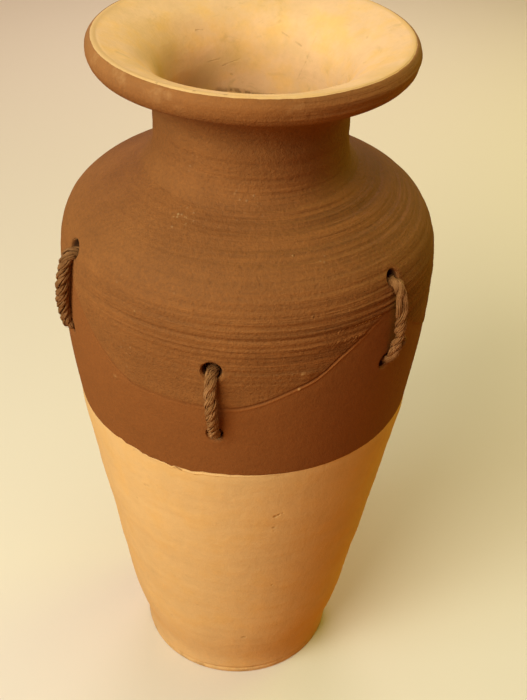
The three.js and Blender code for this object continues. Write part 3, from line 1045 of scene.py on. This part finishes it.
def slip_finish(tones, surface):
    """Matt brown slip with the fine lines of throwing and combing over everything above the garlands."""
    shader = Shader("slip_finish")
    outside = surface.outside
    climb, combed = shader.value("climb"), shader.value("combed")
    groove, crest_highlight, lip = shader.value("groove"), shader.value("crest_highlight"), shader.value("lip")
    pressed = shader.value("pressed")
    flat = shader.node("SeparateXYZ", sockets={0: shader.coords}, output=0)
    side = shader.node("SeparateXYZ", sockets={0: shader.coords}, output=1)
    wander = shader.noise(9.0, 2.0)
    lined = shader.node("CombineXYZ", sockets={0: flat * 7.0, 1: side * 7.0, 2: (climb + wander * 0.0025) * 400.0})
    lines = shader.noise(1.0, 4.0, 0.65, at=lined) - 0.5
    where = shader.noise(26.0, 2.0).between(0.34, 0.62) * 0.5 + 0.5
    lines = lines * combed * pressed * where
    grain = shader.noise(560.0, 3.0, 0.75) - 0.5
    crumbs = shader.noise(240.0, 3.0, 0.7) - 0.5
    rough = (combed * 0.45 + 0.55) * (1 - lip * 0.35)
    clouds = shader.noise(13.0, 4.0, 0.6)
    blotches = shader.noise(75.0, 4.0, 0.65) - 0.5
    tone = 0.99 + (clouds - 0.5) * 0.26 + blotches * 0.20
    tone = tone + (grain * 0.75 + crumbs * 0.2) * rough + lines * 0.85
    # Painted shade darkens the garland's groove; painted highlight lightens the ridge below it, the long stroke and
    # the lines beside the garland.
    tone = tone - groove * 0.35 + crest_highlight * 0.22 + lip * 0.12
    lighter = tuple(tones.slip[i] * (1.12, 1.16, 1.25)[i] for i in range(3))
    redder = tuple(tones.slip[i] * (1.04, 0.95, 0.88)[i] for i in range(3))
    base = shader.mix(combed, redder, shader.mix(clouds.between(0.38, 0.66), tones.slip, lighter))
    base = shader.tinted(base, tone)
    cells = shader.node("TexVoronoi", sockets={"Vector": shader.coords, "Scale": 300.0}, output="Distance")
    specks = (1 - cells.between(0.08, 0.30)) * shader.noise(90.0, 1.0).between(0.50, 0.60)
    strewn = shader.noise(24.0, 1.0).between(0.60, 0.70) * 0.5
    for degrees, height, radius in DUSTY:
        strewn = strewn + shader.near(on_jar(outside, degrees, height), radius * MM)
    specks = specks * strewn.clamped()
    base = shader.mix(specks * 0.3, base, DUST)
    dashes = shader.node(
        "TexVoronoi", sockets={"Vector": shader.stretched(1, 1, 0.4), "Scale": 480.0}, output="Distance"
    )
    dashes = 1 - dashes.between(0.15, 0.42)
    for degrees, height, radius in CHATTER:
        chatter = shader.near(on_jar(outside, degrees, height), radius * MM) * dashes
        base = shader.mix(chatter * 0.45, base, SCRAPED)
    # Painted highlight on the small lumps, which also get relief below.
    for degrees, height, radius, share in LIT_LUMPS:
        lit_lump = shader.near(on_jar(outside, degrees, height), radius * MM)
        base = shader.mix(lit_lump * share, base, LUMP_HIGHLIGHT)
        specks = specks + lit_lump * 2.0
    # Painted shade: the walls of the holes turn dark deeper into the clay.
    base = shader.mix(shader.value("hole_depth_shade") * 0.75, base, HOLE_SHADE)
    # Painted highlight: the lip is lighter away from the front, where light catches its sides.
    base = shader.mix(shader.value("lip_side_highlight") * 0.12, base, LIP_SIDE_HIGHLIGHT)
    bare = lip * shader.noise(60.0, 4.0, 0.65).between(0.52, 0.70)
    base = shader.mix(bare * 0.12, base, tones.clay)
    roughness = 0.82 + (clouds - 0.5) * 0.2 + grain * 0.2
    relief = lines * 1.4 + (grain * 1.0 + crumbs * 0.8) * rough + blotches * 0.45 + specks * 0.4
    return shader.finish(base, roughness, relief, 0.6 * MM, specular=0.3)


# Small pits and chips in the bare clay: degrees, height and radius in millimetres, force
PITS = (
    (12.6, 186.7, 1.9, 0.8), (13.8, 187.9, 1.6, 0.6), (15.2, 189.0, 1.3, 0.35), (12.6, 175.1, 1.8, 0.5),
    (12.9, 171.5, 1.2, 0.25), (4.6, 50.4, 2.0, 0.5), (3.4, 50.0, 1.6, 0.35), (-41.2, 176.4, 1.3, 0.3),
    (-35.3, 56.1, 1.5, 0.3), (15.1, 112.0, 1.3, 0.5), (-35.2, 195.9, 1.8, 0.3), (-33.8, 196.6, 1.6, 0.25),
    (-18.4, 84.2, 1.4, 0.2), (-29.6, 200.9, 1.4, 0.18),
    (62, 120, 1.6, 0.6), (128, 190, 1.5, 0.7), (186, 96, 1.8, 0.6), (243, 150, 1.4, 0.7), (285, 70, 1.6, 0.6),
)

# Smears of slip just below its edge: from and to in degrees and height, width in millimetres, force
SMEARS = (
    ((-23.4, 226.7), (-20.8, 225.4), 1.3, 0.7), ((-21.0, 225.3), (-19.3, 223.9), 1.2, 0.7),
    ((-12.6, 226.4), (-11.4, 225.9), 0.6, 0.4), ((8, 225.8), (12, 225.6), 0.5, 0.25),
    ((133, 225.8), (138, 224.2), 1.0, 0.6), ((214, 225.5), (218, 224.6), 0.8, 0.5),
)

# Scratches and dirt inside the lip and throat; the last two draw a dark line low round the far side of the throat.
# Each runs from one place to another, given by degrees and by radius and drop from the rim in millimetres,
# and has a width in millimetres and a force.
SCRATCHES = (
    ((140.4, 56, 17.6), (142.4, 51.3, 29.5), 0.7, 0.22), ((143, 50.8, 31.7), (148, 50, 43), 0.7, 0.22),
    ((163.1, 55.1, 19.1), (158, 54.2, 20.9), 0.8, 0.2), ((152.8, 53.4, 22.7), (148.7, 52.8, 24.1), 0.9, 0.24),
    ((108.2, 65.9, 7.6), (107.1, 65.4, 8), 1.1, 0.5), ((83.7, 60.8, 11.7), (85, 59.5, 13), 0.9, 0.3),
    ((-143.6, 56.4, 16.9), (-147.9, 56.1, 17.4), 0.7, 0.3), ((-148.7, 50.3, 34.8), (-156.8, 50.4, 34.2), 0.5, 0.22),
    ((-159, 50, 38.4), (-170.9, 50.3, 35), 0.55, 0.2), ((-165, 50, 43.9), (-166, 50, 44.2), 0.9, 0.3),
    ((20, 58.8, 13.7), (32, 63.3, 9.5), 0.5, 0.4), ((300, 63.3, 9.5), (310, 68.2, 6.2), 0.6, 0.4),
    ((-156, 50, 53.6), (-178, 50, 56.4), 3.2, 0.55), ((-163, 50, 53.6), (-175, 50, 55.6), 2.2, 0.5),
    ((-178, 50, 56.6), (163, 50, 56.6), 1.8, 0.5), ((163, 50, 56.6), (150, 50, 55), 1.3, 0.3),
)

# Dull olive patches inside, and painted shade on the shaded left wall and deep in the throat: degrees, radius and
# drop from the rim, reach in millimetres, force
STAINS_AND_SHADE = (
    (-99, 66, 7.6, 12, 0.12), (-84, 57.6, 15.2, 12, 0.2), (-96, 52, 26.3, 16, 0.9), (-119, 53, 22.8, 14, 0.6),
    (-138, 50, 46, 20, 1.0), (-150, 50, 40, 14, 0.7), (-165, 51, 33, 15, 0.5), (-178, 50, 38, 12, 0.35),
    (124, 51, 29.5, 6, 0.35), (112, 65, 8.5, 7, 0.25), (30, 56, 17.4, 18, 0.5),
    (-150, 50, 56, 12, 0.9), (-166, 50, 60, 11, 1.0), (178, 50, 62, 10, 0.9), (165, 50, 63, 8, 0.6),
)


def clay_finish(tones, surface):
    """Bare cream clay, brushed smooth, with pits, stains and a few smears of slip, painted shade inside and on the
    rim's top, and a painted highlight under the slip's edge.
    """
    shader = Shader("clay_finish")
    outside = surface.outside

    def within(degrees, radius, drop):
        flat = (radius * MM, surface.jar.height - drop * MM)
        return tuple(round_the_axis([flat], math.radians(degrees))[0])

    inside, edge, foot = shader.value("inside"), shader.value("edge"), shader.value("foot")
    brushed = shader.noise(1.0, 4.0, 0.6, at=shader.stretched(95, 95, 30), distortion=0.6) - 0.5
    rubbed = shader.noise(1.0, 3.0, 0.6, at=shader.stretched(24, 24, 150), distortion=0.4) - 0.5
    clouds = shader.noise(11.0, 4.0, 0.6) - 0.5
    blotches = shader.noise(52.0, 4.0, 0.6)
    grain = shader.noise(700.0, 2.0, 0.7) - 0.5
    dimples = shader.noise(330.0, 3.0, 0.6) - 0.5
    tone = 1.0 + clouds * 0.20 + (blotches - 0.5) * 0.22 + brushed * 0.12
    tone = tone + rubbed * 0.06 + grain * 0.06 + dimples * 0.09
    dusty = tuple(tones.clay[i] * (0.97, 0.93, 0.82)[i] for i in range(3))
    paler = shader.mix(inside * 0.7, tones.clay, INSIDE)
    base = shader.mix(blotches.between(0.42, 0.72), paler, dusty)
    base = shader.tinted(base, tone)
    relief = brushed * 0.7 + rubbed * 0.5 + (blotches - 0.5) * 0.9 + grain * 0.15 + dimples * 0.45
    for degrees, height, radius, force in PITS:
        pit = shader.near(on_jar(outside, degrees, height, 0.2 * MM), radius * MM)
        base = shader.mix(pit * (0.62 * force), base, PIT)
        relief = relief - pit * (1.6 * force)
    # Painted highlight along the small clay ridge just under the slip's edge.
    base = shader.mix(shader.value("ridge") * 0.3, base, RIDGE_HIGHLIGHT)
    flecks = edge * shader.noise(1.0, 3.0, 0.6, at=shader.stretched(190, 190, 420)).between(0.58, 0.68)
    base = shader.mix(flecks * 0.8, base, tones.slip)
    for start, end, width, force in SMEARS:
        smear = shader.stroke(on_jar(outside, *start), on_jar(outside, *end), width * MM)
        base = shader.mix(smear * force, base, tones.slip)
    grime = foot * shader.noise(120.0, 3.0).between(0.42, 0.7)
    base = shader.mix(grime * 0.4, base, GRIME)
    # Dull olive stains inside, with painted shade on the shaded left wall and deep down the throat.
    dull = shader.noise(22.0, 5.0, 0.6).between(0.46, 0.74) * 0.7
    for degrees, radius, drop, reach, force in STAINS_AND_SHADE:
        dull = dull + shader.near(within(degrees, radius, drop), reach * MM) * force
    base = shader.mix((inside * dull).clamped() * 0.42, base, OLIVE_STAIN_AND_SHADE)
    smudges = shader.noise(1.0, 4.0, 0.65, at=shader.stretched(70, 70, 110), distortion=0.8).between(0.56, 0.74)
    base = shader.mix(inside * smudges * 0.28, base, SMUDGE)
    # Painted shade on the top of the rim, toning it down most on the left, where the lamps light it.
    base = shader.mix(shader.value("rim_top_shade") * 0.60, base, RIM_TOP_SHADE)
    broken = shader.noise(300.0, 2.0).between(0.40, 0.52) * 0.6 + 0.4
    for start, end, width, force in SCRATCHES:
        scratch = shader.stroke(within(*start), within(*end), width * MM) * broken
        base = shader.mix(scratch * force, base, DIRT)
        relief = relief - scratch * 0.5
    roughness = 0.82 + (blotches - 0.5) * 0.2
    return shader.finish(base, roughness, relief, 0.34 * MM, specular=0.25)


def jute_finish(tones):
    """Brown jute yarn, hairy and dull."""
    shader = Shader("jute_finish")
    fibres = shader.noise(1.0, 3.0, 0.65, at=shader.stretched(2400, 2400, 800), distortion=0.8) - 0.5
    patches = shader.noise(170.0, 3.0, 0.6)
    # Painted shade: each stitch is darker by its own share, most the first one at the left.
    tone = 0.97 - shader.value("rope_shade") * 0.30 + fibres * 0.6 + (patches - 0.5) * 0.6
    lighter = tuple(tones.jute[i] * (1.25, 1.35, 1.6)[i] for i in range(3))
    base = shader.tinted(shader.mix(patches.between(0.4, 0.68), tones.jute, lighter), tone)
    return shader.finish(base, 0.9, fibres, 0.16 * MM, specular=0.15)


def floor_finish(tones):
    """A plain pale floor. What it throws back on to the jar is warm and subdued, as wooden boards would."""
    shader = Shader("floor_finish")
    seen = shader.node("LightPath", output="Is Camera Ray")
    base = shader.mix(seen, tones.bounce, tones.ground)
    grain = shader.noise(400.0, 2.0)
    return shader.finish(base, 0.9, grain, 0.05 * MM, specular=0.0)


FINISHES = {}


def finish_named(name):
    """The finish of a material slot, made when it is first asked for."""
    scene = bpy.context.scene
    if name not in FINISHES:
        surface = Surface(scene)
        makers = {
            "brown_slip": lambda: slip_finish(scene.jar_colours, surface),
            "cream_clay": lambda: clay_finish(scene.jar_colours, surface),
            "jute_rope": lambda: jute_finish(scene.jar_colours),
            "pale_floor": lambda: floor_finish(scene.jar_colours),
        }
        FINISHES[name] = makers[name]()
    return FINISHES[name]


def pierced_piece(name, mesh, slot, surface):
    """A turned piece with its finish and with the holes through it."""
    piece = add_piece(name, mesh)
    piece.data.materials.append(finish_named(slot))
    cutter = hole_cutter(surface, finish_named("brown_slip"))
    pierce(piece, cutter)
    discard(cutter)
    return piece


# Operators

class JAR_OT_clay(bpy.types.Operator):
    """Turn the clay body with its lip, funnel, cavity and floor, and pierce its holes"""

    bl_idname = "jar.clay"
    bl_label = "Clay Body"

    # Points round the jar
    COLUMNS = 330

    def execute(self, context):
        surface = Surface(context.scene)
        jar = surface.jar
        outline = clay_outline_of(jar, surface.outside)
        ends = outline.ends
        start, top = ends["foot"], ends["outside"]
        even = level(0)
        step, recess, proud = jar.coat * 0.25, jar.coat + 0.1 * MM, 0.12 * MM

        def bare(azimuth, along):
            short = surface.edge(azimuth) + start - along
            near_edge = smooth(6 * MM, 0, short)
            ridge = 0.18 * MM * surface.edge_care(azimuth) * bell(short - 0.9 * MM, 0.5 * MM)
            return surface.bare_relief(azimuth, along - start) * (1 - 0.6 * near_edge) - step * near_edge + ridge

        def under_edge(azimuth, along):
            past = along - start - surface.edge(azimuth)
            return -step - (recess - step) * smooth(0.8 * MM, 2.4 * MM, past)

        def under_top(azimuth, along):
            short = start + surface.top_edge(azimuth) - along
            return -proud - (recess - proud) * smooth(0.7 * MM, 1.8 * MM, short)

        def funnel(azimuth, along):
            return 0.16 * MM * waves(azimuth, along, 7, 22 * MM, 8, 51) * smooth(0, 6 * MM, along - top)

        def rough(azimuth, along):
            return 0.35 * MM * waves(azimuth, along, 3, 16 * MM, 8, 52)

        def stretches_for(azimuth):
            edge, upper = start + surface.edge(azimuth), start + surface.top_edge(azimuth)
            return [
                Stretch(5, 0, ends["underside"], even),
                Stretch(3, ends["underside"], start, even),
                Stretch(22, start, start + 9 * MM, bare),
                Stretch(94, start + 9 * MM, edge - 3 * MM, bare),
                Stretch(10, edge - 3 * MM, edge - 0.2 * MM, bare),
                Stretch(6, edge - 0.2 * MM, edge + 2.6 * MM, under_edge),
                Stretch(42, edge + 2.6 * MM, upper - 2 * MM, level(-recess)),
                Stretch(5, upper - 2 * MM, upper, under_top),
                Stretch(3, upper, top, level(-proud)),
                Stretch(9, top, ends["rim"], even),
                Stretch(32, ends["rim"], ends["funnel"], funnel),
                Stretch(5, ends["funnel"], ends["throat"], even),
                Stretch(26, ends["throat"], ends["cavity"], rough),
                Stretch(3, ends["cavity"], ends["corner"], even),
                Stretch(4, ends["corner"], ends["floor"], even),
            ]

        rows = sum(stretch.rows for stretch in stretches_for(0.0))
        mesh, azimuth, row = turned_vessel("clay", self.COLUMNS, rows)
        # The last row is the pole on the floor, past the last stretch.
        row = np.minimum(row, rows - 1e-9)
        put_points(mesh, laid(outline, stretches_for(azimuth), azimuth, row))
        piece = pierced_piece("clay", mesh, "cream_clay", surface)
        self.keep_values(piece.data, surface)
        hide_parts("jar_body")
        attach(piece, BODY)
        finish_mesh(piece.data)
        return {"FINISHED"}

    @staticmethod
    def keep_values(mesh, surface):
        points = points_of(mesh)
        azimuth, height = azimuths_of(points), points[:, 2]
        radius = np.hypot(points[:, 0], points[:, 1])
        wall = surface.outside.place(surface.outside.at_height(height))[:, 0]
        hidden = radius < wall - 2.5 * MM
        keep_value(mesh, "inside", hidden * smooth(300 * MM, 400 * MM, height))
        below = surface.edge_height(azimuth) - height
        keep_value(mesh, "edge", ~hidden * smooth(4.5 * MM, 0.5 * MM, below) * bell(turned_from(azimuth, -19), 0.35))
        keep_value(mesh, "foot", ~hidden * smooth(9 * MM, 2 * MM, height))
        # Painted highlight along the ridge under the slip's edge.
        keep_value(mesh, "ridge", ~hidden * surface.edge_care(azimuth) * bell(below - 1.0 * MM, 0.8 * MM))
        # Painted shade on the rim's top, strongest on the left.
        rim_top_shade = smooth(surface.jar.height - 1.4 * MM, surface.jar.height - 0.6 * MM, height)
        rim_top_shade *= smooth(surface.jar.rim_radius - 3.4 * MM, surface.jar.rim_radius - 1.6 * MM, radius)
        keep_value(mesh, "rim_top_shade", rim_top_shade * (0.5 + 0.5 * bell(turned_from(azimuth, -80), math.radians(50))))
        # Painted shade deep in the holes, read by the slip finish on the hole walls.
        keep_value(mesh, "hole_depth_shade", smooth(wall - 1.2 * MM, wall - 2.2 * MM, radius))


class JAR_OT_slip(bpy.types.Operator):
    """Lay the coat of brown slip over belly, shoulder, neck and lip, with its throwing and combing lines"""

    bl_idname = "jar.slip"
    bl_label = "Slip Coat"

    # Points round the jar
    COLUMNS = 300

    def execute(self, context):
        surface = Surface(context.scene)
        ends = surface.outside.ends
        swag_reach = 3.4 * MM
        inner, end = level(-surface.jar.coat), level(-0.5 * surface.jar.coat)

        def outer(azimuth, along):
            inset = smooth(1.0 * MM, 0, np.minimum(along - surface.edge(azimuth), surface.top_edge(azimuth) - along))
            near = smooth(5 * MM, 0, surface.top_edge(azimuth) - along)
            return surface.slip_relief(azimuth, along) * (1 - 0.8 * near) - 0.16 * MM * inset**2

        def stretches_for(azimuth):
            edge, swag, top = surface.edge(azimuth), surface.swag(azimuth), surface.top_edge(azimuth)
            return [
                Stretch(44, edge, swag - swag_reach, outer),
                Stretch(12, swag - swag_reach, swag + swag_reach, outer),
                Stretch(132, swag + swag_reach, ends["shoulder"], outer),
                Stretch(40, ends["shoulder"], ends["neck_end"], outer),
                Stretch(24, ends["neck_end"], ends["underside"], outer),
                Stretch(14, ends["underside"], ends["bulge"], outer),
                Stretch(12, ends["bulge"], top, outer),
                Stretch(1, top, top - 0.5 * MM, end),
                Stretch(3, top - 1.0 * MM, ends["bulge"], inner),
                Stretch(20, ends["bulge"], edge + 3.0 * MM, inner),
                Stretch(1, edge + 1.0 * MM, edge, end),
            ]

        rows = sum(stretch.rows for stretch in stretches_for(0.0))
        mesh, azimuth, row = turned_ring("slip", self.COLUMNS, rows)
        put_points(mesh, laid(surface.outside, stretches_for(azimuth), azimuth, row))
        piece = pierced_piece("slip", mesh, "brown_slip", surface)
        self.keep_values(piece.data, surface)
        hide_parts("slip_coat")
        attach(piece, BODY)
        finish_mesh(piece.data)
        return {"FINISHED"}

    @staticmethod
    def keep_values(mesh, surface):
        points = points_of(mesh)
        azimuth, height = azimuths_of(points), points[:, 2]
        climb = surface.outside.at_height(height)
        past_swag = climb - surface.swag(azimuth)
        keep_value(mesh, "climb", climb)
        keep_value(mesh, "combed", smooth(0, 3 * MM, past_swag))
        force = surface.swag_force(azimuth)
        # Painted shade in the garland's groove.
        keep_value(mesh, "groove", force * bell(past_swag - 0.5 * MM, 0.8 * MM))
        keep_value(mesh, "pressed", surface.comb_force(azimuth, climb))
        lip = smooth(surface.jar.height - 16 * MM, surface.jar.height - 3 * MM, height)
        keep_value(mesh, "lip", lip)
        # Painted highlight on the lip's sides, away from the front.
        keep_value(mesh, "lip_side_highlight", lip * (1 - bell(turned_from(azimuth, 5), math.radians(55))))
        # Painted highlight on the ridge below the groove, on the long stroke and on lines beside the garland.
        beside = sum(bell(past_swag - apart * MM, 0.6 * MM) for apart in (4.2, 7.0, 10.5))
        beside = beside * 0.3 * bell(turned_from(azimuth, 14), math.radians(16))
        stroke, reach = surface.long_stroke(azimuth, climb)
        crest_highlight = force * bell(past_swag + 1.2 * MM, 0.8 * MM) + 0.8 * reach * bell(stroke, 0.7 * MM) + beside
        keep_value(mesh, "crest_highlight", crest_highlight)


class JAR_OT_ropes(bpy.types.Operator):
    """Lay the six rope stitches through their holes, with a stopper knot at each end inside"""

    bl_idname = "jar.ropes"
    bl_label = "Rope Stitches"

    def execute(self, context):
        surface = Surface(context.scene)
        rope = surface.rope
        for number, (stitch, lie) in enumerate(zip(STITCHES, LIES)):
            random = np.random.default_rng(60 + number)
            path = stitch_path(surface, stitch, lie)
            yarns = laid_rope(path, rope, random, lie.thick * rope.diameter / 2, lie.slacks, lie.loop)
            fibres = stray_fibres(path, rope, random, FIBRES)
            parts = [tubes("yarns", yarns, 1), tubes("fibres", fibres, 0)]
            for hole, turn in zip(stitch, (1, -1)):
                coil = knot_path(surface, hole, turn)
                parts.append(tubes("knot", laid_rope(coil, rope, random, KNOT_ROPE), 0))
            name = f"rope_{number + 1}"
            piece = add_piece(name, joined(name, parts))
            piece.data.materials.append(finish_named("jute_rope"))
            keep_value(piece.data, "rope_shade", np.full(len(piece.data.vertices), lie.rope_shade))
            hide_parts(f"rope_stitch_{number + 1}")
            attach(piece, BODY)
            finish_mesh(piece.data, 60)
        return {"FINISHED"}


class JAR_OT_stage(bpy.types.Operator):
    """Set the pale floor, the soft studio lamps and the camera"""

    bl_idname = "jar.stage"
    bl_label = "Floor, Lamps and Camera"

    FLOOR_SIZE = 6
    # Where the camera is, how many degrees it looks down, is turned to the right and is rolled, and its lens
    CAMERA_PLACE = (0, -0.5870, 0.6683)
    CAMERA_DOWN = 36.102
    CAMERA_RIGHT = 1.197
    CAMERA_ROLL = 2.458
    CAMERA_LENS = 58.04
    # The lamps are disks that look at the middle of the jar. Name, place, power and colour of each
    LAMP_SIZE = 0.9
    LAMP_AIM = Vector((0, 0, 0.24))
    LAMPS = (
        ("key", (-0.71, -0.98, 1.29), 19.0, (1.0, 0.98, 0.76)),
        ("side", (-1.30, -0.75, 0.79), 11.0, (0.72, 1.0, 0.98)),
        ("top", (0.0, -0.11, 1.84), 6.0, (0.75, 1.0, 0.8)),
        ("right", (1.19, 0.83, 0.92), 7.5, (0.8, 1.0, 0.12)),
        ("back", (0.0, 1.39, 1.04), 7.7, (1.0, 0.82, 0.85)),
    )
    # What the room round the jar throws on to it
    ROOM_COLOUR = (1.0, 0.36, 0.08)
    ROOM_STRENGTH = 0.19

    def execute(self, context):
        working = bmesh.new()
        bmesh.ops.create_grid(working, x_segments=8, y_segments=8, size=self.FLOOR_SIZE)
        floor = add_piece("floor", mesh_from("floor", working))
        floor.data.materials.append(finish_named("pale_floor"))
        for name, place, power, tone in self.LAMPS:
            self.add_lamp(name, Vector(place), power, tone)
        self.add_camera(context.scene)
        self.set_world(context.scene)
        return {"FINISHED"}

    def add_lamp(self, name, place, power, tone):
        light = bpy.data.lights.new(name, "AREA")
        light.shape = "DISK"
        light.size = self.LAMP_SIZE
        light.energy = power
        light.color = tone
        lamp = bpy.data.objects.new(name, light)
        lamp.rotation_euler = (self.LAMP_AIM - place).to_track_quat("-Z", "Y").to_euler()
        lamp.location = place
        bpy.context.scene.collection.objects.link(lamp)

    def add_camera(self, scene):
        lens = bpy.data.cameras.new("camera")
        lens.lens = self.CAMERA_LENS
        lens.sensor_width = 36
        lens.clip_start = 0.01
        camera = bpy.data.objects.new("camera", lens)
        look = (
            Matrix.Rotation(-math.radians(self.CAMERA_RIGHT), 4, "Z")
            @ Matrix.Rotation(math.radians(90 - self.CAMERA_DOWN), 4, "X")
            @ Matrix.Rotation(math.radians(self.CAMERA_ROLL), 4, "Z")
        )
        camera.matrix_world = Matrix.Translation(self.CAMERA_PLACE) @ look
        scene.collection.objects.link(camera)
        scene.camera = camera

    def set_world(self, scene):
        scene.view_settings.view_transform = "Standard"
        scene.world = bpy.data.worlds.new("room")
        scene.world.use_nodes = True
        sky = scene.world.node_tree.nodes["Background"]
        sky.inputs["Color"].default_value = (*self.ROOM_COLOUR, 1)
        sky.inputs["Strength"].default_value = self.ROOM_STRENGTH


class JAR_PT_build(bpy.types.Panel):
    """The jar's sizes, its colours and the steps that build it"""

    bl_label = "Terracotta Jar"
    bl_idname = "JAR_PT_build"
    bl_space_type = "VIEW_3D"
    bl_region_type = "UI"
    bl_category = "Jar"

    def draw(self, context):
        layout, scene = self.layout, context.scene
        for group in (scene.jar_shape, scene.rope_shape, scene.jar_colours):
            box = layout.box()
            for name in group.__annotations__:
                box.prop(group, name)
        for step in STEPS:
            layout.operator(step.bl_idname)


STEPS = (JAR_OT_clay, JAR_OT_slip, JAR_OT_ropes, JAR_OT_stage)
CLASSES = (JarShape, RopeShape, JarColours, *STEPS, JAR_PT_build)


def register():
    for part in CLASSES:
        bpy.utils.register_class(part)
    bpy.types.Scene.jar_shape = PointerProperty(type=JarShape)
    bpy.types.Scene.rope_shape = PointerProperty(type=RopeShape)
    bpy.types.Scene.jar_colours = PointerProperty(type=JarColours)


def unregister():
    del bpy.types.Scene.jar_colours
    del bpy.types.Scene.rope_shape
    del bpy.types.Scene.jar_shape
    for part in reversed(CLASSES):
        bpy.utils.unregister_class(part)


def main():
    register()
    bpy.ops.jar.clay()
    bpy.ops.jar.slip()
    bpy.ops.jar.ropes()
    bpy.ops.jar.stage()


if __name__ == "__main__":
    main()
